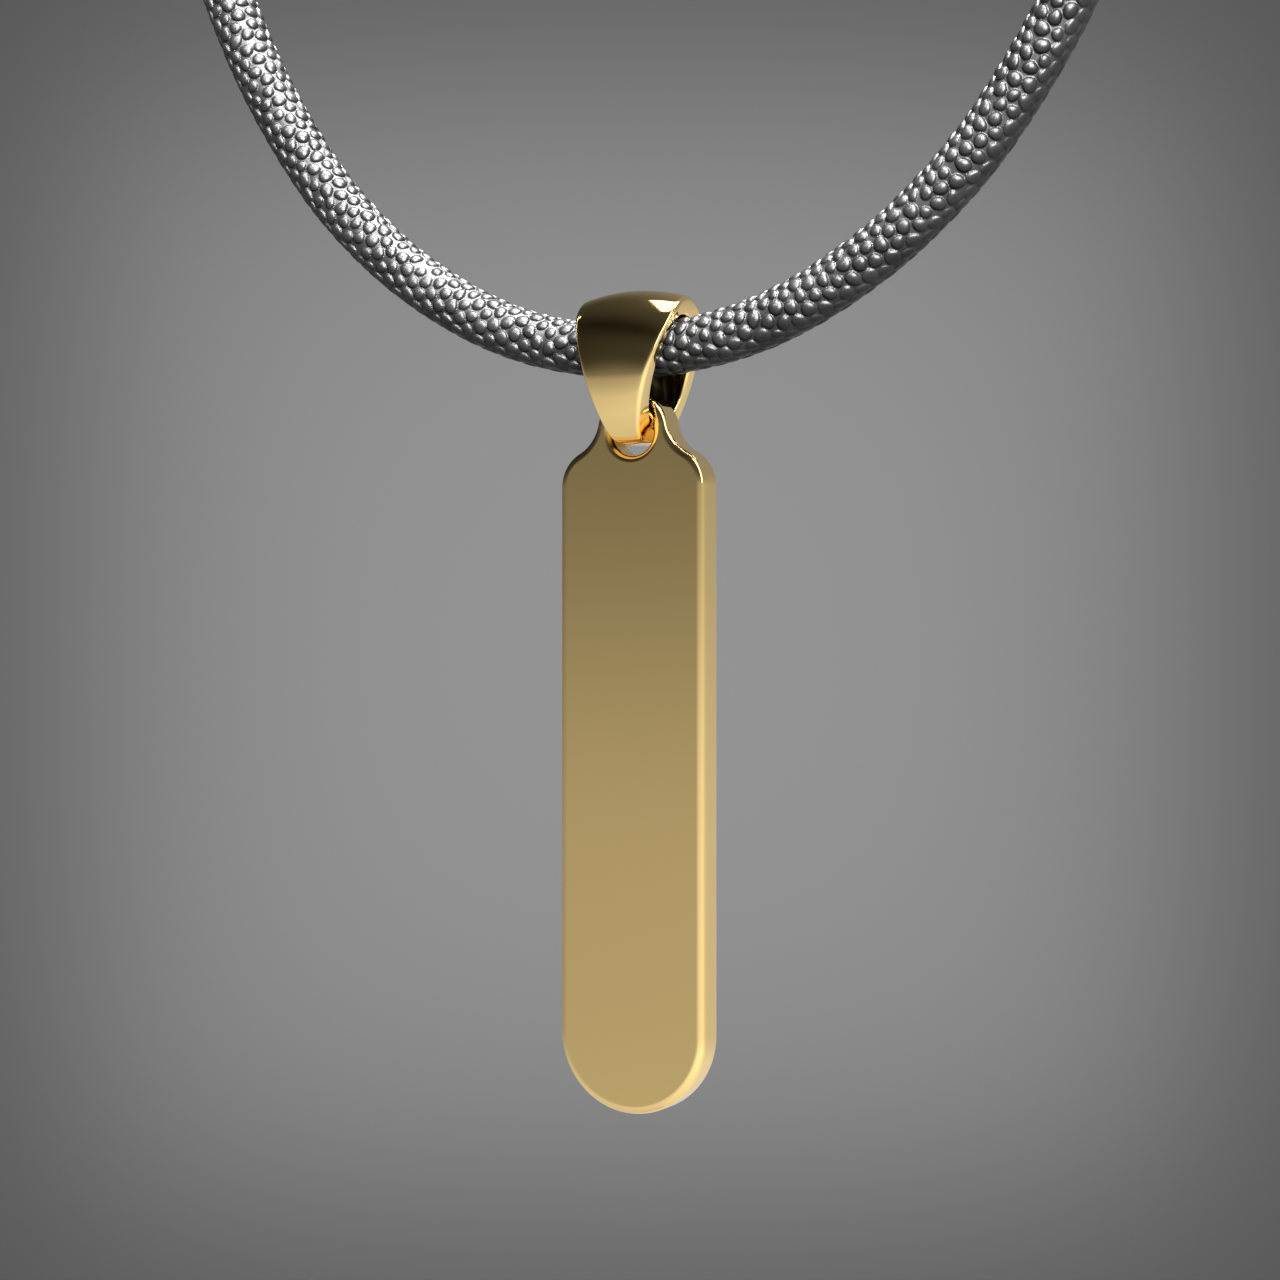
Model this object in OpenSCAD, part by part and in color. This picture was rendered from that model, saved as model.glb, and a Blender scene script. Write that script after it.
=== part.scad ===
// A bar pendant on a leather cord: a polished gold plate hangs by its eye from a tapered
// bail, the bail rides on a thick pebbled cord, and a plain barrel clasp closes the loop.
// X runs across the plate, Y from front (minus) to back, Z up. The origin is the point at
// the top of the loop that rests on the neck, under the clasp. All sizes are in millimetres.

/* [Plate] */
// Width of the bar plate
plate_w = 8.6; // [8:0.1:10]
// Thickness of the plate
plate_t = 2.05; // [1.8:0.05:2.1]
// Height from the middle of the eye down to the round end
plate_drop = 36.75; // [25:0.25:45]
// Radius of the rounded edge all along the outline
plate_edge_r = 0.45; // [0.2:0.05:0.6]
// Radius of the eye that the bail passes through
eye_r = 1.25; // [1.25:0.05:1.4]
// Radius of the rounded edge of the eye
eye_edge_r = 0.4; // [0.35:0.05:0.4]
// Outer radius of the neck round the eye
neck_r = 2.15; // [2.1:0.05:2.4]
// Radius of the hollow curve between the neck and a shoulder
hollow_r = 2.25; // [1.8:0.05:2.6]
// Radius of the shoulder's round corner
shoulder_r = 2.1; // [1.6:0.05:2.4]
// How far the straight sides start below the middle of the eye
shoulder_drop = 2.9; // [2.7:0.05:3.4]

/* [Bail] */
// Height of the bail's crown above the middle of the cord
bail_top = 3.25; // [3.2:0.05:3.5]
// Depth of the bail's underside below the middle of the cord
bail_bottom = 5.15; // [5.1:0.05:5.4]
// Depth of the bail from front to back
bail_depth = 6.3; // [6.2:0.1:6.8]
// Height of the inside of the bail above the middle of the cord
bail_in_top = 1.85; // [1.8:0.05:2]
// Depth of the inside of the bail below the middle of the cord
bail_in_bottom = 4.3; // [4.25:0.05:4.4]
// Depth of the inside of the bail from front to back
bail_in_depth = 4.2; // [4.1:0.1:4.4]
// Half of the bail's width at the height of the middle of the cord
bail_half_w = 2.32; // [2.2:0.01:2.4]
// How much the half width grows for each millimetre up
bail_taper = 0.289; // [0.25:0.001:0.3]
// How much lower the rim of the band is than its crown, at the top
bail_crown = 0.4; // [0.3:0.05:0.7]
// Radius of the rounded rim of the band
bail_edge_r = 0.25; // [0.1:0.05:0.3]
// Radius of the rounded seat in the foot that carries the plate's eye
seat_r = 1; // [0.9:0.01:1.02]

/* [Cord] */
// Diameter of the leather cord
cord_d = 3; // [2.8:0.1:3]

/* [Clasp] */
// Length of the barrel clasp
clasp_len = 22; // [20:0.5:24]
// Diameter of the barrel clasp
clasp_d = 5.5; // [5:0.1:7]
// Depth of the socket that a cord end is glued into
clasp_socket = 4; // [3:0.5:4]

/* [Hidden] */

gold = [0.80, 0.64, 0.33];
leather = [0.20, 0.20, 0.21];

// Half of the gap between the two cord ends inside the clasp
cord_gap = clasp_len / 2 - clasp_socket;
// Right half of the cord's route as seen from the front, [across, up] from its lowest
// point. The first eight points are the U that hangs in front, and the rest is the plain
// way round to the clasp.
cord_half = [
    [0, 0], [4, 0.4], [8, 1.5], [12, 3.5], [16, 6.4], [20, 10.6], [24, 16.8], [27.5, 24.5],
    [31, 32.5], [37, 45], [45, 60], [54, 77.5], [61, 94.5], [64.5, 111], [63, 127],
    [55.5, 141], [43, 150.5], [28, 154.5], [16, 155], [cord_gap, 155]];
// Curve steps between two points of the route
cord_steps = 8;
// Rings along the tube, an even number so that the bail rides on a straight stretch
cord_rings = 68;
// Sides of the tube
cord_sides = 8;

// Height of the middle of the cord at its lowest point
cord_low = clasp_d / 2 - cord_half[len(cord_half) - 1][1];
// Room between a cord end and its socket's wall
socket_room = 0.1;
// Bevel at the clasp's ends
clasp_bevel = 0.8;

// Running gap between the top of the bail's seat and the top of the eye
seat_gap = 0.08;
// Middle of the seat, below the middle of the cord
seat_drop = 4.26;
// Middle of the eye, below the middle of the cord
eye_drop = seat_drop - seat_r - seat_gap + eye_r;
eye_z = cord_low - eye_drop;

// Where a circle of radius ra round a and one of radius rb round b cross, on the left of a to b
function crossing(a, ra, b, rb) =
    let (
        d = norm(b - a),
        along = (ra * ra - rb * rb + d * d) / (2 * d),
        aside = sqrt(ra * ra - along * along),
        u = (b - a) / d)
    a + along * u + aside * [-u[1], u[0]];

// Quads between two closed rings of n points that follow each other in a point list
function band(first, second, n) =
    [for (i = [0:n - 1]) let (j = (i + 1) % n) [first + i, first + j, second + j, second + i]];

// Middles of the plate's curves seen from the front, with the middle of the eye at [0, 0].
// The hollow curve touches both the neck and the shoulder.
shoulder_c = [plate_w / 2 - shoulder_r, -shoulder_drop];
hollow_c = crossing([0, 0], neck_r + hollow_r, shoulder_c, shoulder_r + hollow_r);
neck_a = atan2(hollow_c[1], hollow_c[0]);
shoulder_a = atan2(hollow_c[1] - shoulder_c[1], hollow_c[0] - shoulder_c[0]);
end_c = [0, plate_w / 2 - plate_drop];

// Cross-section of a rounded edge: from the line x = 0 out to reach, over the thickness
module edge_section(reach, edge_r) {
    inner = reach - edge_r;
    translate([0, -plate_t / 2])
        square([inner, plate_t]);
    translate([0, -plate_t / 2 + edge_r])
        square([reach, plate_t - 2 * edge_r]);
    for (side = [-1, 1])
        translate([inner, side * (plate_t / 2 - edge_r)])
            circle(r = edge_r, $fn = 32);
}

// Puts a shape that was drawn flat at a place on the plate, upright
module on_plate(place) {
    translate([place[0], 0, place[1]])
        rotate([90, 0, 0])
            children();
}

// A sector of a disc with a rounded edge: the neck, a shoulder or the lower end
module sector(place, radius, start, angle) {
    on_plate(place)
        rotate(start)
            rotate_extrude(angle = angle, $fn = 96)
                edge_section(radius, plate_edge_r);
}

// What is cut away for a round hole or hollow, so that its wall keeps a rounded edge
module round_cut(place, radius, edge_r) {
    reach = radius + edge_r;
    on_plate(place)
        rotate_extrude($fn = 96)
            difference() {
                translate([0, -plate_t])
                    square([reach, 2 * plate_t]);
                translate([2 * reach, 0])
                    mirror([1, 0])
                        edge_section(2 * reach - radius, edge_r);
            }
}

// The web under the neck, cut on both sides by the hollow curve
module web() {
    left_hollow_c = [-hollow_c[0], hollow_c[1]];
    left_shoulder_c = [-shoulder_c[0], shoulder_c[1]];
    difference() {
        on_plate([0, 0])
            linear_extrude(plate_t, center = true)
                polygon([[0, 0], hollow_c, shoulder_c, left_shoulder_c, left_hollow_c]);
        for (place = [hollow_c, left_hollow_c])
            round_cut(place, hollow_r, plate_edge_r);
    }
}

// The straight bar between the shoulders and the lower end
module bar() {
    translate([0, 0, end_c[1]])
        linear_extrude(shoulder_c[1] - end_c[1]) {
            square([plate_w - 2 * plate_edge_r, plate_t], center = true);
            square([plate_w, plate_t - 2 * plate_edge_r], center = true);
            for (x = [-1, 1], y = [-1, 1])
                translate([x * (plate_w / 2 - plate_edge_r), y * (plate_t / 2 - plate_edge_r)])
                    circle(r = plate_edge_r, $fn = 32);
        }
}

module plate() {
    color(gold)
        translate([0, 0, eye_z])
            difference() {
                union() {
                    bar();
                    web();
                    sector([0, 0], neck_r, neck_a, 180 - 2 * neck_a);
                    sector(shoulder_c, shoulder_r, 0, shoulder_a);
                    mirror([1, 0, 0])
                        sector(shoulder_c, shoulder_r, 0, shoulder_a);
                    sector(end_c, plate_w / 2, 180, 180);
                }
                round_cut([0, 0], eye_r, eye_edge_r);
            }
}

// The bail's band lies between two ovals seen from the side, which are deepest somewhat
// below the cord. This gives an oval's points as [back, up] from the middle of the cord: from
// the front over the top to the back, and round the foot to the front again.
bail_steps = 56;
bail_deepest_z = -1.35;
function oval(depth, top, bottom) =
    [for (i = [0:bail_steps - 1])
        let (
            a = 180 - 360 * i / bail_steps,
            half_height = a > 0 ? top - bail_deepest_z : bottom + bail_deepest_z)
        [depth / 2 * cos(a), bail_deepest_z + half_height * sin(a)]];

// The outer oval would reach lower than the foot, which is cut off flat with a rounded corner.
// The corner is sharper with a higher power.
bail_uncut_bottom = 5.65;
foot_power = 16;
function cut_foot(line) =
    let (flat = bail_bottom + bail_deepest_z)
    [for (p = line)
        let (drop = bail_deepest_z - p[1])
        drop <= 0 ? p : [p[0], bail_deepest_z
            - pow(pow(drop, -foot_power) + pow(flat, -foot_power), -1 / foot_power)]];

// Half width of the band at a height above the middle of the cord
bail_widest_z = 2.4;
function half_width(z) = bail_half_w + bail_taper * min(z, bail_widest_z);

// How far the rim lies under the crown: most at the top, and almost nothing on the straps
bail_flat_z = -1.8;
bail_least_crown = 0.05;
function rim_drop(z) =
    let (t = max(0, min(1, (z - bail_flat_z) / (bail_top - bail_flat_z))))
    bail_least_crown + (bail_crown - bail_least_crown) * t * t * (3 - 2 * t);

// Cross-section of the band at one place, as points from the outer middle to the right
// rim, along the inner face to the left rim and back
rim_steps = 3;
face_steps = 3;
function band_section(outer, inner) =
    let (
        wide_out = half_width(outer[1]),
        wide_in = half_width(inner[1]),
        inward = (inner - outer) / norm(inner - outer),
        drop = rim_drop(outer[1]),
        slope = atan(2 * drop / wide_out),
        flat = wide_out - bail_edge_r * (1 - sin(slope)),
        face = [for (i = [0:face_steps - 1]) [flat * i / face_steps, drop * pow(i / face_steps, 2)]],
        rim = [for (i = [0:rim_steps]) let (a = slope + (90 - slope) * i / rim_steps)
            [flat + bail_edge_r * (sin(a) - sin(slope)),
                drop + bail_edge_r * (cos(slope) - cos(a))]],
        right = concat(face, rim),
        to_space = function (q) let (p = outer + q[1] * inward) [q[0], p[0], p[1]],
        low_right = [wide_in, inner[0], inner[1]],
        low_left = [-wide_in, inner[0], inner[1]])
    concat(
        [for (q = right) to_space(q)],
        [low_right, low_left],
        [for (i = [len(right) - 1:-1:1]) to_space([-right[i][0], right[i][1]])]);

module bail_band() {
    outer = cut_foot(oval(bail_depth, bail_top, bail_uncut_bottom));
    inner = oval(bail_in_depth, bail_in_top, bail_in_bottom);
    sections = [for (i = [0:len(outer) - 1]) band_section(outer[i], inner[i])];
    n = len(sections[0]);
    count = len(sections);
    polyhedron(
        points = [for (s = sections) each s],
        faces = [for (k = [0:count - 1]) each band(((k + 1) % count) * n, k * n, n)]);
}

// The rounded seat lies in the foot, and the plate's eye hangs on it. Its ends and its
// underside are cut by a round limit that stays inside the band.
limit_r = 2.7;
limit_drop = 2.2;
module bail_seat() {
    intersection() {
        translate([0, 0, -seat_drop])
            rotate([90, 0, 0])
                cylinder(r = seat_r, h = bail_depth, center = true, $fn = 48);
        translate([0, 0, -limit_drop])
            rotate([0, 90, 0])
                cylinder(r = limit_r, h = 4 * seat_r, center = true, $fn = 96);
    }
}

module bail() {
    color(gold)
        translate([0, 0, cord_low]) {
            bail_band();
            bail_seat();
        }
}

// The whole route from the right end in the clasp, down through the U and up to the left end
cord_route = concat(
    [for (i = [len(cord_half) - 1:-1:0]) cord_half[i]],
    [for (i = [1:len(cord_half) - 1]) [-cord_half[i][0], cord_half[i][1]]]);

// A smooth curve that passes through every point of the route
function curve_point(p0, p1, p2, p3, t) =
    (2 * p1 + (p2 - p0) * t + (2 * p0 - 5 * p1 + 4 * p2 - p3) * t * t
        + (3 * p1 - p0 - 3 * p2 + p3) * t * t * t) / 2;

function curve_through(points, steps) =
    let (last = len(points) - 1)
    concat(
        [for (i = [0:last - 1]) for (k = [0:steps - 1])
            curve_point(points[max(i - 1, 0)], points[i], points[i + 1],
                points[min(i + 2, last)], k / steps)],
        [points[last]]);

// Distance along a line of points to each of its points
function distances(line) =
    [for (i = 0, s = 0; i < len(line); s = s + (i < len(line) - 1 ? norm(line[i + 1] - line[i]) : 0),
        i = i + 1) s];

module cord() {
    line = curve_through(cord_route, cord_steps);
    along = distances(line);
    across_at = [for (i = [0:len(line) - 1]) [along[i], line[i][0]]];
    up_at = [for (i = [0:len(line) - 1]) [along[i], line[i][1]]];
    whole = along[len(along) - 1];
    centres = [for (i = [0:cord_rings - 1]) let (s = whole * i / (cord_rings - 1))
        [lookup(s, across_at), lookup(s, up_at)]];
    last = cord_rings - 1;
    rings = [for (i = [0:last])
        let (
            step = centres[min(i + 1, last)] - centres[max(i - 1, 0)],
            ahead = step / norm(step),
            aside = [-ahead[1], ahead[0]])
        [for (k = [0:cord_sides - 1])
            let (a = 360 * (k + 0.5) / cord_sides, q = centres[i] + cord_d / 2 * cos(a) * aside)
            [q[0], cord_d / 2 * sin(a), q[1] + cord_low]]];
    color(leather)
        polyhedron(
            points = [for (r = rings) each r],
            faces = concat(
                [[for (k = [cord_sides - 1:-1:0]) k]],
                [for (i = [0:last - 1]) each band(i * cord_sides, (i + 1) * cord_sides, cord_sides)],
                [[for (k = [0:cord_sides - 1]) last * cord_sides + k]]));
}

// One plain barrel with bevelled ends and a blind socket in each end for the cord
module clasp() {
    half = clasp_len / 2;
    socket_r = cord_d / 2 + socket_room;
    color(gold)
        translate([0, 0, clasp_d / 2])
            rotate([0, 90, 0])
                rotate_extrude($fn = 64)
                    polygon([
                        [0, -cord_gap], [socket_r, -cord_gap], [socket_r, -half],
                        [clasp_d / 2 - clasp_bevel, -half], [clasp_d / 2, -half + clasp_bevel],
                        [clasp_d / 2, half - clasp_bevel], [clasp_d / 2 - clasp_bevel, half],
                        [socket_r, half], [socket_r, cord_gap], [0, cord_gap]]);
}

plate();
bail();
cord();
clasp();
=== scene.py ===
# %% [markdown]
# A polished gold bar plate hangs by its eye from a tapered bail, and the bail rides on a
# thick cord of pebbled leather. The measured solids of all four pieces come in first, in
# metres, and every piece made here is laid exactly over the solid that it stands for.

import math
import random

import bmesh
import bpy
import numpy as np
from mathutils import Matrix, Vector
from mathutils.geometry import tessellate_polygon
from mathutils.kdtree import KDTree


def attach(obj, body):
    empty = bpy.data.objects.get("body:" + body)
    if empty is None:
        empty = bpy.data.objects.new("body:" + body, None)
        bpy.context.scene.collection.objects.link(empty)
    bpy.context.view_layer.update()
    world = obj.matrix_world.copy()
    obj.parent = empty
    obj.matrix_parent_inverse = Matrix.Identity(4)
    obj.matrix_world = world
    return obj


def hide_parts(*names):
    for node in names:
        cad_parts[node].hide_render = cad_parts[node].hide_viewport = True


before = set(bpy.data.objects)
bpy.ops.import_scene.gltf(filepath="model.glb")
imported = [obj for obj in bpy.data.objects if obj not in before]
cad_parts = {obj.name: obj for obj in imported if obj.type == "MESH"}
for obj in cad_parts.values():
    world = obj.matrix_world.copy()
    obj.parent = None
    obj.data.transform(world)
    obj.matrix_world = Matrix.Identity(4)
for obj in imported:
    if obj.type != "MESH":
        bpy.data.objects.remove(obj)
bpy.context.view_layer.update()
scene = bpy.context.scene

# %% [markdown]
# The pendant is small, so the camera stands close: 159 mm from it, level, and 25 degrees
# round to the right, with a short telephoto lens. The perspective is then that of a close
# product photograph, and the plate shows its right edge.

# %% Camera
MM = 0.001
# Height of the cord's middle line where the pendant hangs
CORD_LOW = -152.25
VIEW_TURN = math.radians(25.19)
CAMERA_AT = (67.65, -143.67, CORD_LOW - 15.63)
SENSOR_WIDTH = 36
LENS = 82.52

camera_data = bpy.data.cameras.new("camera")
camera_data.sensor_width = SENSOR_WIDTH
camera_data.lens = LENS
camera_data.clip_start = 0.01
camera = bpy.data.objects.new("camera", camera_data)
camera.location = [c * MM for c in CAMERA_AT]
camera.rotation_euler = (math.radians(90), 0, VIEW_TURN)
scene.collection.objects.link(camera)
scene.camera = camera
print("camera at", [round(c, 4) for c in camera.location])

# %% [markdown]
# Colours are written as the eye names them, in sRGB hex, and turned to linear light by one
# function. Another adds a shader node with its settings and its links, which is all that
# the materials below need. A third turns lists of points and faces into a smooth mesh.

# %% Helpers for colours, shader nodes and meshes
def linear(hex_colour):
    values = [int(hex_colour[i:i + 2], 16) / 255 for i in (1, 3, 5)]
    return [v / 12.92 if v <= 0.04045 else ((v + 0.055) / 1.055) ** 2.4 for v in values] + [1.0]


def add_node(tree, kind, settings={}, inputs={}):
    made = tree.nodes.new(kind)
    for name, value in settings.items():
        setattr(made, name, value)
    for name, value in inputs.items():
        if isinstance(value, bpy.types.NodeSocket):
            tree.links.new(value, made.inputs[name])
        else:
            made.inputs[name].default_value = value
    return made


def new_material(name):
    made = bpy.data.materials.new(name)
    made.use_nodes = True
    made.node_tree.nodes.clear()
    return made, made.node_tree


def add_piece(name, points, faces, material):
    mesh = bpy.data.meshes.new(name)
    mesh.from_pydata([[c * MM for c in p] for p in points], [], faces)
    work = bmesh.new()
    work.from_mesh(mesh)
    bmesh.ops.recalc_face_normals(work, faces=work.faces)
    work.to_mesh(mesh)
    work.free()
    mesh.shade_smooth()
    mesh.materials.append(material)
    made = bpy.data.objects.new(name, mesh)
    scene.collection.objects.link(made)
    print(name, len(mesh.vertices), "points,", len(mesh.polygons), "faces")
    return made


# %% [markdown]
# The metal is brass with a layer of polished yellow gold. Polished gold is a mirror with
# its own colour: red light comes back whole and blue light only a third, so its look is
# made by what stands round it. Hand polishing leaves a faint haze that comes and goes over
# a few millimetres, and hair-fine wipe marks, which a little roughness noise and a very
# shallow bump give.

# %% Gold
gold, tree = new_material("polished_gold_plate")
place = add_node(tree, "ShaderNodeTexCoord")
# Polishing haze, in patches of about 3 mm
haze = add_node(tree, "ShaderNodeTexNoise", {}, {
    "Vector": place.outputs["Object"], "Scale": 330.0, "Detail": 3.0})
gloss = add_node(tree, "ShaderNodeMapRange", {}, {
    "Value": haze.outputs["Fac"], "From Min": 0.3, "From Max": 0.7,
    "To Min": 0.06, "To Max": 0.085})
# Wipe marks 0.05 mm apart, drawn out along the plate
wipe_scale = add_node(tree, "ShaderNodeMapping", {}, {
    "Vector": place.outputs["Object"], "Scale": (20000.0, 20000.0, 900.0)})
wipes = add_node(tree, "ShaderNodeTexNoise", {}, {
    "Vector": wipe_scale.outputs["Vector"], "Scale": 1.0, "Detail": 2.0})
wipe_bump = add_node(tree, "ShaderNodeBump", {}, {
    "Height": wipes.outputs["Fac"], "Strength": 0.02, "Distance": 0.00002})
gold_shader = add_node(tree, "ShaderNodeBsdfPrincipled", {}, {
    "Base Color": linear("#FFDE97"), "Metallic": 1.0,
    "Roughness": gloss.outputs["Result"], "Normal": wipe_bump.outputs["Normal"]})
add_node(tree, "ShaderNodeOutputMaterial", {}, {"Surface": gold_shader.outputs["BSDF"]})
print("gold:", len(tree.nodes), "nodes")

# %% [markdown]
# The cord is dark leather with a glossy finish: the skin was tumbled and lacquered, so
# each pebble has its own bright spot. Dye and lacquer take a little unevenly, so the tone
# and the sharpness of the spots change over about 2 mm. Open pores swallow most of the
# lacquer's shine, so the specular level is low and only strong lamps show up in it.

# %% Leather
RELIEF = "relief"

leather, tree = new_material("lacquered_pebbled_leather")
place = add_node(tree, "ShaderNodeTexCoord")
# Dye that varies over about 2 mm
dye = add_node(tree, "ShaderNodeTexNoise", {}, {
    "Vector": place.outputs["Object"], "Scale": 500.0, "Detail": 4.0})
tone = add_node(tree, "ShaderNodeValToRGB", {}, {"Fac": dye.outputs["Fac"]})
tone.color_ramp.elements[0].position = 0.3
tone.color_ramp.elements[0].color = linear("#050505")
tone.color_ramp.elements[1].position = 0.75
tone.color_ramp.elements[1].color = linear("#090909")
# Pores 0.05 mm apart, finer than the eye can part
pores = add_node(tree, "ShaderNodeTexNoise", {}, {
    "Vector": place.outputs["Object"], "Scale": 20000.0, "Detail": 2.0})
pore_bump = add_node(tree, "ShaderNodeBump", {}, {
    "Height": pores.outputs["Fac"], "Strength": 0.08, "Distance": 0.00003})
# The foot of a pebble is steeper than the facets there can show. So the relief that each
# point carries, in metres, bends the light a little further.
relief = add_node(tree, "ShaderNodeAttribute", {"attribute_name": RELIEF})
round_bump = add_node(tree, "ShaderNodeBump", {}, {
    "Height": relief.outputs["Fac"], "Strength": 1.0, "Distance": 1.0,
    "Normal": pore_bump.outputs["Normal"]})
sheen_range = add_node(tree, "ShaderNodeMapRange", {}, {
    "Value": dye.outputs["Fac"], "From Min": 0.3, "From Max": 0.7,
    "To Min": 0.33, "To Max": 0.41})
leather_shader = add_node(tree, "ShaderNodeBsdfPrincipled", {}, {
    "Base Color": tone.outputs["Color"], "Metallic": 0.0,
    "IOR": 1.48, "Specular IOR Level": 0.10,
    "Roughness": sheen_range.outputs["Result"], "Normal": round_bump.outputs["Normal"]})
add_node(tree, "ShaderNodeOutputMaterial", {}, {"Surface": leather_shader.outputs["BSDF"]})
print("leather:", len(tree.nodes), "nodes")

# %% [markdown]
# The cord hangs in a U from the bail and goes the plain way round to the clasp at the top,
# where it rests on the neck. Its middle line is a smooth curve through a few points, the
# same as in the solids. A leather cord could be a plain tube with bumps painted on, but
# its pebbles break the outline, so they are real relief here.

# %% The cord's middle line
CORD_HALF = [
    (0, 0), (4, 0.4), (8, 1.5), (12, 3.5), (16, 6.4), (20, 10.6), (24, 16.8), (27.5, 24.5),
    (31, 32.5), (37, 45), (45, 60), (54, 77.5), (61, 94.5), (64.5, 111), (63, 127),
    (55.5, 141), (43, 150.5), (28, 154.5), (16, 155), (7, 155)]
CURVE_STEPS = 40
# The cord's direction is taken between points this far before and behind
DIRECTION_REACH = 0.5


def smooth_curve(points, steps):
    """A curve that passes through every point, as closely spaced points."""
    last = len(points) - 1
    line = []
    for i in range(last):
        p0, p1, p2, p3 = (points[min(max(i + k, 0), last)] for k in (-1, 0, 1, 2))
        for t in np.arange(steps) / steps:
            line.append((2 * p1 + (p2 - p0) * t + (2 * p0 - 5 * p1 + 4 * p2 - p3) * t ** 2
                         + (3 * p1 - p0 - 3 * p2 + p3) * t ** 3) / 2)
    return np.array(line + [points[last]])


cord_route = np.array(CORD_HALF[::-1] + [(-x, z) for x, z in CORD_HALF[1:]], float)
cord_line = smooth_curve(cord_route, CURVE_STEPS)
cord_line[:, 1] += CORD_LOW
cord_steps = np.diff(cord_line, axis=0)
cord_at = np.concatenate([[0], np.cumsum(np.hypot(*cord_steps.T))])
cord_length = cord_at[-1]
print("cord length, mm:", round(cord_length, 1))


def cord_frame(s):
    """Middle and inward direction of the cord at distances s along it, in its upright plane."""
    def line_at(s):
        return np.stack([np.interp(s, cord_at, cord_line[:, k]) for k in (0, 1)], axis=-1)

    ahead = line_at(s + DIRECTION_REACH) - line_at(s - DIRECTION_REACH)
    ahead /= np.linalg.norm(ahead, axis=-1, keepdims=True)
    return line_at(s), np.stack([ahead[..., 1], -ahead[..., 0]], axis=-1)


# %% Core of the cord
CORE_R = 1.34
CORE_RINGS = 240
CORE_SIDES = 16


def tube(distances, sides, radius):
    """Points of a tube along the cord. radius is one number, or one for each ring and side."""
    middle, inward = cord_frame(distances)
    angle = 2 * np.pi * np.arange(sides) / sides
    radius = np.broadcast_to(radius, (len(distances), sides))
    points = np.empty((len(distances), sides, 3))
    points[..., 0] = middle[:, None, 0] + radius * np.cos(angle) * inward[:, None, 0]
    points[..., 1] = -radius * np.sin(angle)
    points[..., 2] = middle[:, None, 1] + radius * np.cos(angle) * inward[:, None, 1]
    return points.reshape(-1, 3)


def tube_faces(rings, sides):
    """Faces between closed rings of points that follow each other in a point list."""
    first = np.arange(sides)
    after = (first + 1) % sides
    ring = np.stack([first, after, after + sides, first + sides], axis=-1)
    return (ring[None] + sides * np.arange(rings - 1)[:, None, None]).reshape(-1, 4).tolist()


core_faces = tube_faces(CORE_RINGS, CORE_SIDES)
core_faces.append(list(range(CORE_SIDES)))
core_faces.append([(CORE_RINGS - 1) * CORE_SIDES + k for k in range(CORE_SIDES)])
core = add_piece("cord_core", tube(np.linspace(0, cord_length, CORE_RINGS), CORE_SIDES, CORE_R),
                 core_faces, leather)

# %% [markdown]
# Pebbles grow close together on the skin, in mixed sizes, and press each other into place.
# So they start here on a loose honeycomb with chance sizes, and then each one is pushed off
# the neighbours that it overlaps, a few times over. Pairs that still touch have grown
# together, as on real hide, and small crumbs fill the gaps that are left. Drawing them by
# hand, or a plain noise pattern, would not pack them like this.

# %% Where the pebbles are
PEBBLE_PITCH = 0.83
PEBBLE_R = (0.31, 0.42)
PEBBLE_GAP = 0.09
# How far a pebble starts from its place on the honeycomb, as a share of the pitch
JITTER = 0.35
SKIN_R = 1.375
AROUND = 2 * math.pi * SKIN_R
PUSH_ROUNDS = 10
# The share of an overlap by which each of the two pebbles moves
PUSH_SHARE = 0.45
LEAST_APART = 0.01

chance = random.Random(7)
columns = round(AROUND / PEBBLE_PITCH)
row_step = PEBBLE_PITCH * math.sqrt(3) / 2
pebbles = []
for row in range(int(cord_length / row_step)):
    for column in range(columns):
        pebbles.append([
            (row + 0.5 + chance.uniform(-JITTER, JITTER)) * row_step,
            (column + row % 2 / 2 + chance.uniform(-JITTER, JITTER)) * AROUND / columns,
            chance.uniform(*PEBBLE_R)])


def on_skin(s, w):
    """The point s along the cord and w round it, on a straight cord."""
    return s, SKIN_R * math.cos(w / SKIN_R), SKIN_R * math.sin(w / SKIN_R)


def way_round(w, other):
    """The shorter way round the cord from other to w, less than nothing if it is backwards."""
    return (w - other + AROUND / 2) % AROUND - AROUND / 2


for _ in range(PUSH_ROUNDS):
    near = KDTree(len(pebbles))
    for i, (s, w, r) in enumerate(pebbles):
        near.insert(on_skin(s, w), i)
    near.balance()
    pushes = [[0.0, 0.0] for _ in pebbles]
    for i, (s, w, r) in enumerate(pebbles):
        for _, j, _ in near.find_range(on_skin(s, w), r + PEBBLE_R[1] + PEBBLE_GAP):
            if j == i:
                continue
            ds = s - pebbles[j][0]
            dw = way_round(w, pebbles[j][1])
            apart = max(math.hypot(ds, dw), LEAST_APART)
            overlap = r + pebbles[j][2] + PEBBLE_GAP - apart
            if overlap > 0:
                pushes[i][0] += PUSH_SHARE * overlap * ds / apart
                pushes[i][1] += PUSH_SHARE * overlap * dw / apart
    for pebble, (ds, dw) in zip(pebbles, pushes):
        pebble[0] += ds
        pebble[1] = (pebble[1] + dw) % AROUND
print("pebbles:", len(pebbles))

# %% Crumbs in the gaps
CRUMB_R = (0.17, 0.3)
# A map of the skin holds how far each place is from the nearest rim
MAP_STEP = 0.1
MAP_REACH = 0.9
map_s = np.arange(0, cord_length, MAP_STEP)
map_w = np.linspace(0, AROUND, round(AROUND / MAP_STEP), endpoint=False)
room = np.full((len(map_s), len(map_w)), MAP_REACH)


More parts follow.
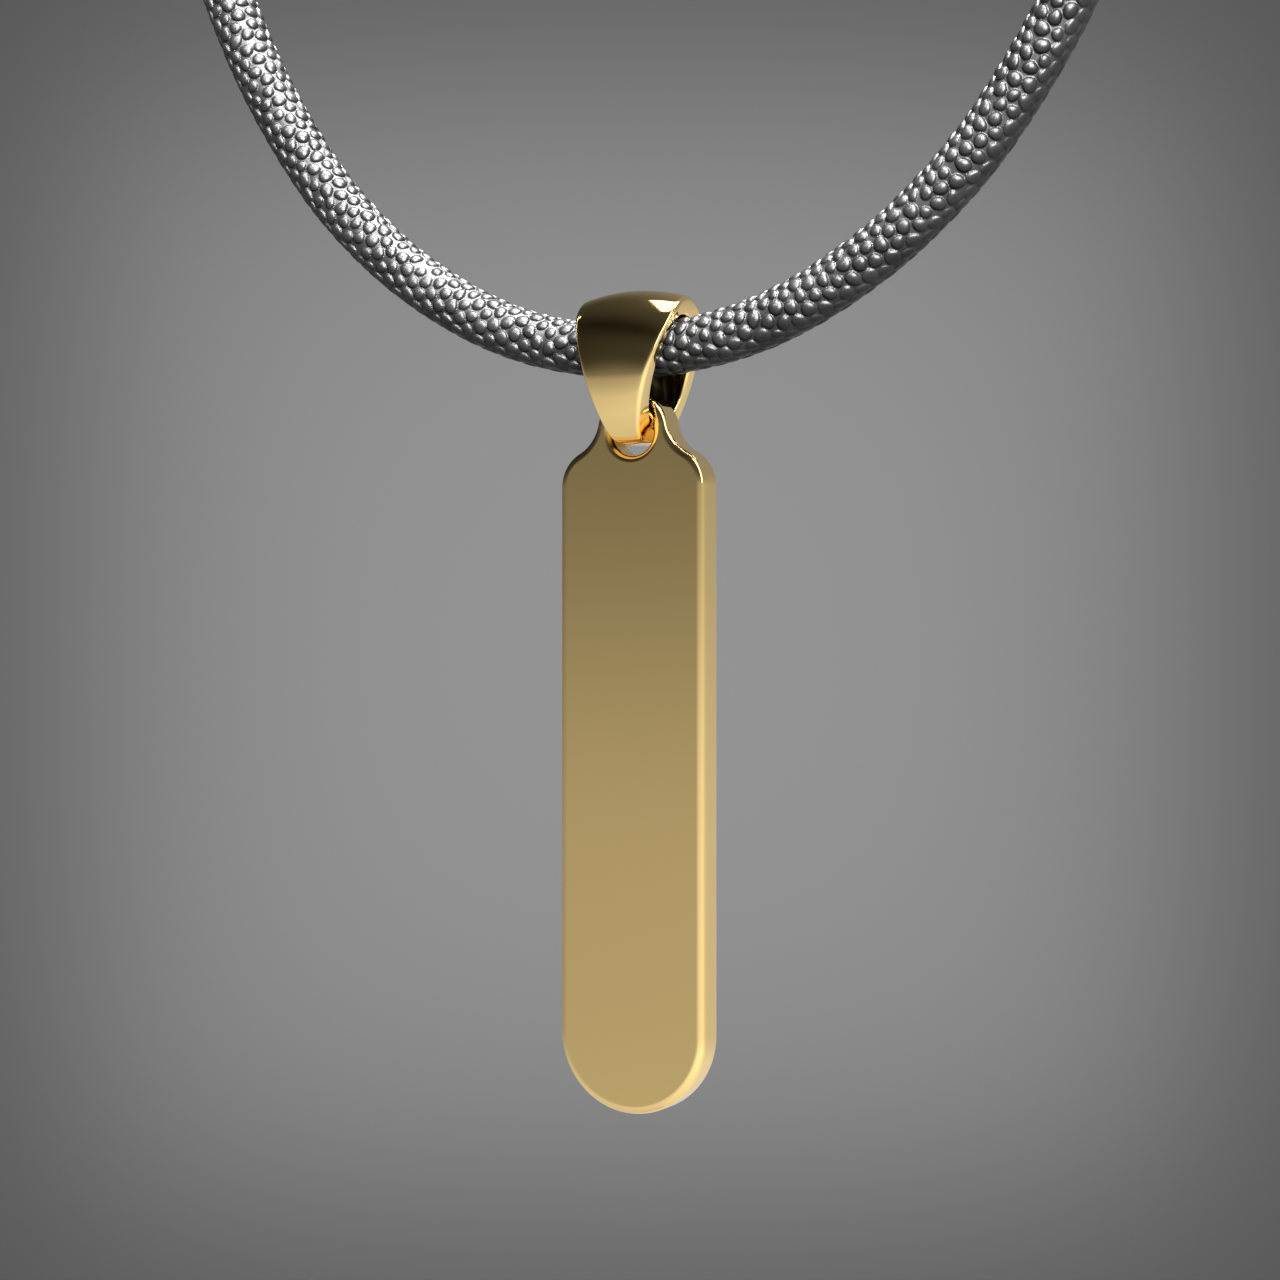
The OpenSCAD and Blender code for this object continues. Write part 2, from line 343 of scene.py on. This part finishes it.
def take_room(s, w, r):
    """Marks the places near a new pebble with their distance from its rim."""
    rows = slice(max(int((s - MAP_REACH) / MAP_STEP), 0), int((s + MAP_REACH) / MAP_STEP) + 2)
    from_rim = np.hypot(map_s[rows, None] - s, way_round(map_w, w)) - r
    room[rows] = np.minimum(room[rows], from_rim)


for pebble in pebbles:
    take_room(*pebble)
crumbs = []
while room.max() > CRUMB_R[0] + PEBBLE_GAP:
    i, k = np.unravel_index(room.argmax(), room.shape)
    crumbs.append([map_s[i], map_w[k], min(room[i, k] - PEBBLE_GAP, CRUMB_R[1])])
    take_room(*crumbs[-1])
pebbles = sorted(pebbles + crumbs)
print("crumbs:", len(crumbs))

# %% The pebbled skin
PEBBLE_HEIGHT = 0.12
# The longest pebbles are this many times as long as wide
LONGEST = 1.3
# Makes the outline of a pebble a little three-sided
CORNERS = 0.04
# At a half the pebbles are half ellipsoids, steep at the foot, like drops
DOME_POWER = 0.5
# The underside is pressed between these angles from the inside of the loop, by this share,
# towards this share of a pebble's height
UNDER_FROM = math.radians(115)
UNDER_FULL = math.radians(155)
UNDER_PRESSED = 0.6
UNDER_LEVEL = 0.8


def skin_radius(distances, sides):
    """Radius of the skin at each ring and side, raised by the pebbles that lie there."""
    radius = np.full((len(distances), sides), SKIN_R)
    step = distances[1] - distances[0]
    pitch = AROUND / sides
    shapes = random.Random(11)
    for s, w, r in pebbles:
        long, turn = shapes.uniform(1.0, LONGEST), shapes.uniform(0, math.pi)
        corner = shapes.uniform(0, 2 * math.pi)
        reach = r * LONGEST * (1 + CORNERS)
        if s < distances[0] - reach or s > distances[-1] + reach:
            continue
        i0 = max(int((s - reach - distances[0]) / step), 0)
        i1 = min(int((s + reach - distances[0]) / step) + 2, len(distances))
        k = np.arange(int((w - reach) / pitch), int((w + reach) / pitch) + 2)
        ds = distances[i0:i1, None] - s
        dw = k[None, :] * pitch - w
        along = (ds * math.cos(turn) + dw * math.sin(turn)) * long ** -0.5
        aside = (-ds * math.sin(turn) + dw * math.cos(turn)) * long ** 0.5
        rim = r * (1 + CORNERS * np.cos(3 * np.arctan2(aside, along) + corner))
        inside = np.clip(1 - (along ** 2 + aside ** 2) / rim ** 2, 0, None)
        height = PEBBLE_HEIGHT * r / PEBBLE_R[1] * inside ** DOME_POWER
        place = np.ix_(np.arange(i0, i1), k % sides)
        radius[place] = np.maximum(radius[place], SKIN_R + height)
    # The underside, opposite the inside of the loop, is pressed flatter, but as thick
    angle = 2 * np.pi * np.arange(sides) / sides
    from_top = np.minimum(angle, 2 * np.pi - angle)
    under = np.clip((from_top - UNDER_FROM) / (UNDER_FULL - UNDER_FROM), 0, 1)
    pressed = UNDER_PRESSED * under ** 2 * (3 - 2 * under)
    return radius - (radius - SKIN_R - UNDER_LEVEL * PEBBLE_HEIGHT) * pressed


# The stretch near the pendant, from its right end to its left end, is drawn finer
middle_s = cord_length / 2
FRONT = [middle_s + s for s in (-38.0, -11.0, 16.0, 43.0)]
FRONT_STEP = 0.056
REST_STEP = 0.15
FRONT_SIDES = 158
REST_SIDES = 58
stretches = [
    ("cord_skin_right", 0, FRONT[0], REST_STEP, REST_SIDES),
    ("cord_skin_front_right", FRONT[0], FRONT[1], FRONT_STEP, FRONT_SIDES),
    ("cord_skin_front_middle", FRONT[1], FRONT[2], FRONT_STEP, FRONT_SIDES),
    ("cord_skin_front_left", FRONT[2], FRONT[3], FRONT_STEP, FRONT_SIDES),
    ("cord_skin_left", FRONT[3], cord_length, REST_STEP, REST_SIDES)]
skins = []
for name, start, end, step, sides in stretches:
    distances = np.linspace(start, end, int((end - start) / step) + 1)
    radius = skin_radius(distances, sides)
    skin = add_piece(name, tube(distances, sides, radius),
                     tube_faces(len(distances), sides), leather)
    heights = skin.data.attributes.new(RELIEF, "FLOAT", "POINT")
    heights.data.foreach_set("value", ((radius - SKIN_R) * MM).ravel())
    skins.append(skin)

# %% [markdown]
# The clasp is a plain barrel turned from rod, with a blind socket in each end for the
# glued cord. A turned part is a profile swept round an axis, so it is built as one.

# %% Barrel clasp
CLASP_LEN = 22.0
CLASP_D = 5.5
CLASP_BEVEL = 0.8
SOCKET_R = 1.6
SOCKET_DEEP = 4.0
SOCKET_LIP_R = 0.25
# The floor of a socket closes to a hole too small to see
FLOOR_HOLE_R = 0.001
TURNED_SIDES = 64


def arc(centre, radius, a0, a1, steps):
    """Points on a circle from angle a0 to a1 in degrees, both ends included."""
    return [(centre[0] + radius * math.cos(math.radians(a0 + (a1 - a0) * i / steps)),
             centre[1] + radius * math.sin(math.radians(a0 + (a1 - a0) * i / steps)))
            for i in range(steps + 1)]


half = CLASP_LEN / 2
right_end = ([(half - SOCKET_DEEP, FLOOR_HOLE_R), (half - SOCKET_DEEP, SOCKET_R)]
             + arc((half - SOCKET_LIP_R, SOCKET_R + SOCKET_LIP_R), SOCKET_LIP_R, -90, 0, steps=4)
             + arc((half - CLASP_BEVEL, CLASP_D / 2 - CLASP_BEVEL), CLASP_BEVEL, 0, 90, steps=8))
profile = right_end + [(-x, r) for x, r in reversed(right_end)]
clasp_points = [(x, r * math.cos(2 * math.pi * k / TURNED_SIDES),
                 CLASP_D / 2 + r * math.sin(2 * math.pi * k / TURNED_SIDES))
                for x, r in profile for k in range(TURNED_SIDES)]
clasp = add_piece("barrel_clasp", clasp_points, tube_faces(len(profile), TURNED_SIDES), gold)

# %% [markdown]
# The plate was cut from sheet, and its outline and its eye were then rounded and polished.
# One way would be a flat cut-out with a bevel modifier, but a bevel leaves uneven facets
# that a mirror finish shows up. Here the outline is drawn again at each step of the
# rounded edge, so that every facet follows the edge. A narrow flat ring inside each
# rounded edge keeps the big face truly flat in the light.

# %% Outline of the plate
PLATE_W, PLATE_T, PLATE_DROP = 8.6, 2.05, 36.75
EDGE_R, EYE_R, EYE_EDGE_R, NECK_R = 0.45, 1.25, 0.4, 2.15
HOLLOW_R, SHOULDER_R, SHOULDER_DROP = 2.25, 2.1, 2.9
EYE_DROP = 4.43
EYE_Z = CORD_LOW - EYE_DROP
FLAT_RING = 0.005
# Steps round the neck and the lower end, round a hollow and a shoulder, round the eye, and
# over a rounded edge
ROUND_STEPS, SHOULDER_STEPS, EYE_STEPS, EDGE_STEPS = 96, 72, 160, 12

shoulder = Vector((PLATE_W / 2 - SHOULDER_R, -SHOULDER_DROP))
# The hollow's middle is as far from the neck's middle as from the shoulder's, less the radii
to_neck, to_shoulder = NECK_R + HOLLOW_R, SHOULDER_R + HOLLOW_R
apart = shoulder.length
along = (to_neck ** 2 - to_shoulder ** 2 + apart ** 2) / (2 * apart)
aside = math.sqrt(to_neck ** 2 - along ** 2)
unit = shoulder / apart
hollow = along * unit + aside * Vector((-unit.y, unit.x))
neck_a = math.degrees(math.atan2(hollow.y, hollow.x))
shoulder_a = math.degrees(math.atan2(hollow.y - shoulder.y, hollow.x - shoulder.x))
lower_end = (0, PLATE_W / 2 - PLATE_DROP)


def plate_outline(inset):
    """Outline seen from the front, drawn in by inset, from the neck down the right and back."""
    right = (arc((0, 0), NECK_R - inset, 90, neck_a, ROUND_STEPS)[:-1]
             + arc(hollow, HOLLOW_R + inset, 180 + neck_a, 180 + shoulder_a, SHOULDER_STEPS)[:-1]
             + arc(shoulder, SHOULDER_R - inset, shoulder_a, 0, SHOULDER_STEPS)
             + arc(lower_end, PLATE_W / 2 - inset, 0, -90, ROUND_STEPS))
    return right + [(-x, z) for x, z in reversed(right[1:-1])]


def rounded(radius, flat):
    """Steps of a rounded edge as (inset, depth), from a flat ring on the front to the back."""
    front = [(radius + flat, -PLATE_T / 2)]
    for i in range(EDGE_STEPS + 1):
        a = math.radians(90 * i / EDGE_STEPS)
        front.append((radius * (1 - math.sin(a)), -PLATE_T / 2 + radius * (1 - math.cos(a))))
    return front + [(inset, -depth) for inset, depth in reversed(front)]


# %% Plate
edge_rings = [[(x, depth, z + EYE_Z) for x, z in plate_outline(inset)]
              for inset, depth in rounded(EDGE_R, FLAT_RING)]
eye_rings = [[(x, depth, z + EYE_Z)
              for x, z in arc((0, 0), EYE_R + inset, 0, 360, EYE_STEPS)[:-1]]
             for inset, depth in rounded(EYE_EDGE_R, FLAT_RING)]
points = [p for ring in edge_rings + eye_rings for p in ring]
edge_n, eye_n = len(edge_rings[0]), len(eye_rings[0])
eye_start = edge_n * len(edge_rings)
faces = tube_faces(len(edge_rings), edge_n)
faces += [[i + eye_start for i in face] for face in tube_faces(len(eye_rings), eye_n)]
# The flat front and back lie between the first ring of the edge and of the eye, and the last
for edge_first, eye_first in ((0, eye_start), (eye_start - edge_n, len(points) - eye_n)):
    loops = [[Vector(points[edge_first + k]) for k in range(edge_n)],
             [Vector(points[eye_first + k]) for k in range(eye_n)]]
    index = [edge_first + k for k in range(edge_n)] + [eye_first + k for k in range(eye_n)]
    faces += [[index[k] for k in triangle] for triangle in tessellate_polygon(loops)]
plate = add_piece("plate_polished", points, faces, gold)

# %% [markdown]
# The bail is one strip of metal, crowned across its outside, bent round into an oval and
# closed at the foot, where a rounded seat carries the eye. It is lofted through its
# cross-section, which is drawn again at each place along the oval: wide and crowned at the
# top, narrow and flat at the foot.

# %% Bail
BAIL_TOP, BAIL_BOTTOM, BAIL_DEPTH = 3.25, 5.15, 6.3
BAIL_IN_TOP, BAIL_IN_BOTTOM, BAIL_IN_DEPTH = 1.85, 4.3, 4.2
BAIL_HALF_W, BAIL_TAPER, BAIL_WIDEST_Z = 2.32, 0.289, 2.4
BAIL_CROWN, BAIL_LEAST_CROWN, BAIL_FLAT_Z = 0.4, 0.05, -1.8
BAIL_DEEPEST_Z, BAIL_UNCUT_BOTTOM, FOOT_POWER = -1.35, 5.65, 16
BAIL_EDGE_R = 0.25
BAIL_INNER_R = 0.15
# Steps round the band, and in its section across the crown, the outer and the inner edge
BAIL_STEPS, CROWN_STEPS, EDGE_ARC_STEPS, INNER_ARC_STEPS = 224, 12, 8, 6
WIDEST_SOFT = 0.3
SEAT_R, SEAT_DROP, SEAT_SIDES = 1.0, 4.26, 64
# The seat's ends lie on a drum of this radius, and its foot ends just above the drum's
LIMIT_R, LIMIT_DROP, LIMIT_GAP = 2.7, 2.2, 0.02


def oval(depth, top, bottom):
    line = []
    for i in range(BAIL_STEPS):
        a = math.radians(180 - 360 * i / BAIL_STEPS)
        half_height = top - BAIL_DEEPEST_Z if a > 0 else bottom + BAIL_DEEPEST_Z
        line.append(Vector((depth / 2 * math.cos(a), BAIL_DEEPEST_Z + half_height * math.sin(a))))
    return line


def cut_foot(line):
    """The oval with its foot cut off flat, and a rounded corner there."""
    flat = BAIL_BOTTOM + BAIL_DEEPEST_Z
    for point in line:
        drop = BAIL_DEEPEST_Z - point.y
        if drop > 0:
            drop = (drop ** -FOOT_POWER + flat ** -FOOT_POWER) ** (-1 / FOOT_POWER)
            point.y = BAIL_DEEPEST_Z - drop
    return line


def half_width(z):
    """The taper ends at the widest place, and turns there over WIDEST_SOFT."""
    over = (z - BAIL_WIDEST_Z) / WIDEST_SOFT
    z = min(z, BAIL_WIDEST_Z) - WIDEST_SOFT * math.log1p(math.exp(-abs(over)))
    return BAIL_HALF_W + BAIL_TAPER * z


def rim_drop(z):
    t = max(0, min(1, (z - BAIL_FLAT_Z) / (BAIL_TOP - BAIL_FLAT_Z)))
    return BAIL_LEAST_CROWN + (BAIL_CROWN - BAIL_LEAST_CROWN) * t * t * (3 - 2 * t)


def band_section(outer, inner):
    """Cross-section of the strip between an outer and an inner point of the ovals."""
    wide_out, wide_in = half_width(outer.y), half_width(inner.y)
    thick = (inner - outer).length
    drop = rim_drop(outer.y)
    slope = math.atan(2 * drop / wide_out)
    flat = wide_out - BAIL_EDGE_R * (1 - math.sin(slope))
    right = [(flat * i / CROWN_STEPS, drop * (i / CROWN_STEPS) ** 2) for i in range(CROWN_STEPS)]
    for i in range(EDGE_ARC_STEPS + 1):
        a = slope + (math.pi / 2 - slope) * i / EDGE_ARC_STEPS
        right.append((flat + BAIL_EDGE_R * (math.sin(a) - math.sin(slope)),
                      drop + BAIL_EDGE_R * (math.cos(slope) - math.cos(a))))
    for i in range(INNER_ARC_STEPS + 1):
        a = math.pi / 2 * i / INNER_ARC_STEPS
        right.append((wide_in - BAIL_INNER_R * (1 - math.cos(a)),
                      thick - BAIL_INNER_R * (1 - math.sin(a))))
    right.append((wide_in / 2, thick))
    right.append((0, thick))
    both = right + [(-x, q) for x, q in reversed(right[1:-1])]
    inward = (inner - outer) / thick
    return [(x, *(outer + q * inward)) for x, q in both]


outer = cut_foot(oval(BAIL_DEPTH, BAIL_TOP, BAIL_UNCUT_BOTTOM))
inner = oval(BAIL_IN_DEPTH, BAIL_IN_TOP, BAIL_IN_BOTTOM)
sections = [band_section(o, i) for o, i in zip(outer, inner)]
sections.append(sections[0])
side_n = len(sections[0])
band_points = [(x, y, z + CORD_LOW) for section in sections[:-1] for x, y, z in section]
band_faces = [[i % len(band_points) for i in face] for face in tube_faces(len(sections), side_n)]
bail = add_piece("bail_polished", band_points, band_faces, gold)

# %% Seat in the bail's foot
SHARP_ANGLE = math.radians(40)
seat_section = arc((0, -SEAT_DROP), SEAT_R, 0, 360, SEAT_SIDES)[:-1]
seat_points = []
for front in (-1, 1):
    for x, z in seat_section:
        z = max(z, -LIMIT_DROP - LIMIT_R + LIMIT_GAP)
        reach = math.sqrt(LIMIT_R ** 2 - (z + LIMIT_DROP) ** 2)
        seat_points.append((x, front * reach, z + CORD_LOW))
seat_faces = tube_faces(2, SEAT_SIDES)
seat_faces += [list(range(SEAT_SIDES)), list(range(SEAT_SIDES, 2 * SEAT_SIDES))]
seat = add_piece("seat", seat_points, seat_faces, gold)
join = bail.modifiers.new("seat", "BOOLEAN")
join.operation = "UNION"
join.solver = "EXACT"
join.object = seat
with bpy.context.temp_override(object=bail, active_object=bail, selected_objects=[bail]):
    bpy.ops.object.modifier_apply(modifier=join.name)
bpy.data.objects.remove(seat)
bail.data.set_sharp_from_angle(angle=SHARP_ANGLE)
print("bail with seat:", len(bail.data.polygons), "faces")

# %% [markdown]
# Each piece now rides with its body and stands for its solid, so that it swings with it.

# %% Bodies
for piece, body, node in [(plate, "plate", "plate"), (bail, "bail", "bail"),
                          (clasp, "loop", "clasp"), (core, "loop", "cord"),
                          *[(skin, "loop", "cord") for skin in skins]]:
    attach(piece, body)
    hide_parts(node)

# %% [markdown]
# The stage is a pale floor, well below the pendant, and a wall of grey paper behind it,
# square to the camera, with a lamp that washes its middle. They only back the picture. The
# gold mirrors a studio dome: a light table below and to the right, a dim panel behind to
# the right, a faint ceiling high at the back, and dark above. That gives the gold its slow
# change from olive to cream. Polished gold and dull leather want different lamps, and one
# set for both suits only one of them. So two small softboxes put the sharp lights on the
# gold, and three large ones, far off, put the bright spots on the pebbles.

# %% Stage
paper, tree = new_material("grey_paper")
place = add_node(tree, "ShaderNodeTexCoord")
fibre = add_node(tree, "ShaderNodeTexNoise", {}, {
    "Vector": place.outputs["Object"], "Scale": 900.0, "Detail": 3.0})
fibre_bump = add_node(tree, "ShaderNodeBump", {}, {
    "Height": fibre.outputs["Fac"], "Strength": 0.03, "Distance": 0.0002})
paper_shader = add_node(tree, "ShaderNodeBsdfPrincipled", {}, {
    "Base Color": linear("#656565"), "Roughness": 0.95,
    "Normal": fibre_bump.outputs["Normal"]})
add_node(tree, "ShaderNodeOutputMaterial", {}, {"Surface": paper_shader.outputs["BSDF"]})

pale, tree = new_material("pale_board")
pale_shader = add_node(tree, "ShaderNodeBsdfPrincipled", {}, {
    "Base Color": linear("#C8C8C6"), "Roughness": 0.9})
add_node(tree, "ShaderNodeOutputMaterial", {}, {"Surface": pale_shader.outputs["BSDF"]})

FLOOR_Z = -450.0
WALL_AWAY = 750.0
WALL_TOP = 1500
STAGE_HALF_WIDTH = 2000
FLOOR_DEPTH = 3000
away = Vector((-math.sin(VIEW_TURN), math.cos(VIEW_TURN), 0))
across = Vector((math.cos(VIEW_TURN), math.sin(VIEW_TURN), 0))
up = Vector((0, 0, 1))
left_foot = WALL_AWAY * away - across * STAGE_HALF_WIDTH + up * FLOOR_Z
right_foot = WALL_AWAY * away + across * STAGE_HALF_WIDTH + up * FLOOR_Z
rise = up * (WALL_TOP - FLOOR_Z)
nearer = -away * FLOOR_DEPTH
wall = add_piece("paper_wall", [left_foot, right_foot, right_foot + rise, left_foot + rise],
                 [(0, 1, 2, 3)], paper)
floor = add_piece("pale_floor", [left_foot, right_foot, right_foot + nearer, left_foot + nearer],
                  [(0, 1, 2, 3)], pale)
for backing in (wall, floor):
    backing.visible_glossy = False
    backing.visible_diffuse = False
    backing.visible_shadow = False

# %% Dome of studio light
# Brightness by height in degrees above the horizon, as a share of the level on each side.
# The light table's edge is at the horizon.
DOME_HEIGHT = [
    (-90, 0.3), (-50, 0.5), (-35, 0.82), (-20, 1.17), (-10, 1.08), (-4, 0.98), (-2, 0.87),
    (0, 0.7), (2, 0.53), (4, 0.42), (6.5, 0.36), (8, 0.29), (10, 0.24), (13, 0.17), (16, 0.13),
    (20, 0.1), (30, 0.09), (37, 0.068), (43, 0.04), (50, 0.033), (90, 0.033)]
# Level by side in degrees, from the front towards the right
DOME_SIDE = [
    (-180, 0.3), (-135, 0.28), (-75, 0.36), (-45, 0.38), (-20, 0.45), (0, 0.66), (15, 0.84),
    (45, 0.92), (75, 0.78), (105, 0.5), (135, 0.42), (165, 0.36), (180, 0.3)]
# Glow of the table straight below, the same on all sides
TABLE_GLOW = [(-90, 0.56), (-50, 0.52), (-37, 0.43), (-25, 0.25), (-17, 0.12), (-12, 0.05),
              (-7, 0.0), (90, 0.0)]
# Each panel has the direction of its middle, the cosines of the angles from there at which
# its light starts and is full, its full level, and how its edge changes
PANELS = [
    ((0.7, 0.71, 0.0), -0.2, 0.6, 0.2, "SMOOTHSTEP"),
    ((0.34, 0.42, 0.84), 0.27, 1.0, 0.105, "LINEAR")]


def by_table(value, low, high, table):
    """A curve through a table of (input, output), for inputs from low to high."""
    share = add_node(tree, "ShaderNodeMapRange", {}, {
        "Value": value, "From Min": low, "From Max": high})
    curve_node = add_node(tree, "ShaderNodeFloatCurve", {}, {"Value": share.outputs["Result"]})
    points = curve_node.mapping.curves[0].points
    while len(points) < len(table):
        points.new(0.5, 0.5)
    for point, (at, level) in zip(points, table):
        point.location = ((at - table[0][0]) / (table[-1][0] - table[0][0]), level)
        point.handle_type = "VECTOR"
    curve_node.mapping.update()
    return curve_node.outputs["Value"]


def calculate(operation, *values):
    inputs = dict(enumerate(values))
    return add_node(tree, "ShaderNodeMath", {"operation": operation}, inputs).outputs["Value"]


world = bpy.data.worlds.new("studio_dome")
world.use_nodes = True
tree = world.node_tree
tree.nodes.clear()
scene.world = world
direction = add_node(tree, "ShaderNodeTexCoord").outputs["Generated"]
parts = add_node(tree, "ShaderNodeSeparateXYZ", {}, {"Vector": direction})
height = calculate("ARCSINE", parts.outputs["Z"])
side = calculate("ARCTAN2", parts.outputs["X"], calculate("MULTIPLY", parts.outputs["Y"], -1.0))
dome = calculate("MULTIPLY", by_table(height, -math.pi / 2, math.pi / 2, DOME_HEIGHT),
                 by_table(side, -math.pi, math.pi, DOME_SIDE))
table_glow = by_table(height, -math.pi / 2, math.pi / 2, TABLE_GLOW)
level = calculate("ADD", dome, table_glow)
for middle, start, full, brightness, edge in PANELS:
    facing = add_node(tree, "ShaderNodeVectorMath", {"operation": "DOT_PRODUCT"}, {
        0: direction, 1: middle})
    panel = add_node(tree, "ShaderNodeMapRange", {"interpolation_type": edge}, {
        "Value": facing.outputs["Value"], "From Min": start, "From Max": full,
        "To Max": brightness})
    level = calculate("ADD", level, panel.outputs["Result"])
dome_light = add_node(tree, "ShaderNodeBackground", {}, {
    "Color": (1.0, 1.0, 1.0, 1.0), "Strength": level})
# What the camera sees past the wall and the floor
seen = add_node(tree, "ShaderNodeBackground", {}, {"Color": linear("#8C8C8C"), "Strength": 1.0})
path = add_node(tree, "ShaderNodeLightPath")
choice = add_node(tree, "ShaderNodeMixShader", {}, {
    "Fac": path.outputs["Is Camera Ray"], 1: dome_light.outputs["Background"],
    2: seen.outputs["Background"]})
add_node(tree, "ShaderNodeOutputWorld", {}, {"Surface": choice.outputs["Shader"]})
print("dome:", len(tree.nodes), "nodes")

# %% Softboxes and the light on the wall
PENDANT_AT = Vector((0, 0, CORD_LOW)) * MM


def softbox(name, at, towards, width, height, radiance):
    """A flat lamp at one point, aimed at another. Sizes in metres, radiance in W/(m2 sr)."""
    data = bpy.data.lights.new(name, "AREA")
    data.shape = "RECTANGLE"
    data.size, data.size_y = width, height
    data.energy = radiance * math.pi * width * height
    made = bpy.data.objects.new(name, data)
    made.location = at
    made.rotation_euler = (towards - at).to_track_quat("-Z", "Y").to_euler()
    scene.collection.objects.link(made)
    return made


def light_only(lamps, name, pieces):
    """The lamps shine on these pieces only."""
    group = bpy.data.collections.new(name)
    for piece in pieces:
        group.objects.link(piece)
    for lamp in lamps:
        lamp.visible_camera = False
        lamp.light_linking.receiver_collection = group


def from_pendant(right, towards, upwards):
    """A place so many metres from the pendant, as the camera sees it."""
    return PENDANT_AT + right * across - towards * away + upwards * up


# Two lamps hang level, and are turned a little towards the camera's side
LEVEL_TURN = math.radians(20)
gold_key_at = PENDANT_AT + Vector((0.095, 0.05, 0.45))
gold_key = softbox("softbox_overhead", gold_key_at, gold_key_at - up,
                   width=0.4, height=0.22, radiance=3)
side_at = PENDANT_AT + Vector((0.36, -0.19, 0.265))
side_strip = softbox("softbox_side", side_at, PENDANT_AT, width=0.12, height=0.5, radiance=4)
light_only((gold_key, side_strip), "gold_pieces", [plate, bail, clasp])

# The cord's lamps are large and stand far off, so that all of the loop is lit alike
cord_key_at = PENDANT_AT + Vector((0.285, 0.054, 1.35))
cord_key = softbox("softbox_cord_overhead", cord_key_at, cord_key_at - up,
                   width=1.2, height=0.9, radiance=238)
cord_front = softbox("softbox_cord_front", from_pendant(0.225, 1.32, 0.6), PENDANT_AT,
                     width=1.05, height=1.26, radiance=225)
cord_left = softbox("softbox_cord_left", from_pendant(-0.75, 0.75, 1.05), PENDANT_AT,
                    width=0.75, height=0.75, radiance=93)
light_only((cord_key, cord_front, cord_left), "cord_pieces", [core, *skins])
for lamp in (gold_key, cord_key):
    lamp.rotation_euler.z = LEVEL_TURN

# The photograph's gold mirrors no cord from outside the picture, where it would draw a long
# light line across the bail. So the core and the two far skins aren't mirrored.
for far_piece in (core, skins[0], skins[-1]):
    far_piece.visible_glossy = False

# The wall's wash stands this far in front of the paper
WASH_GAP = 70
view_middle = Vector((0, 0, CAMERA_AT[2])) * MM
wash = softbox("wall_wash", view_middle + away * (WALL_AWAY - WASH_GAP) * MM,
               view_middle + away * WALL_AWAY * MM, width=0.34, height=0.34, radiance=1.81)
wash.visible_camera = False
wash.visible_glossy = False

scene.view_settings.view_transform = "Standard"
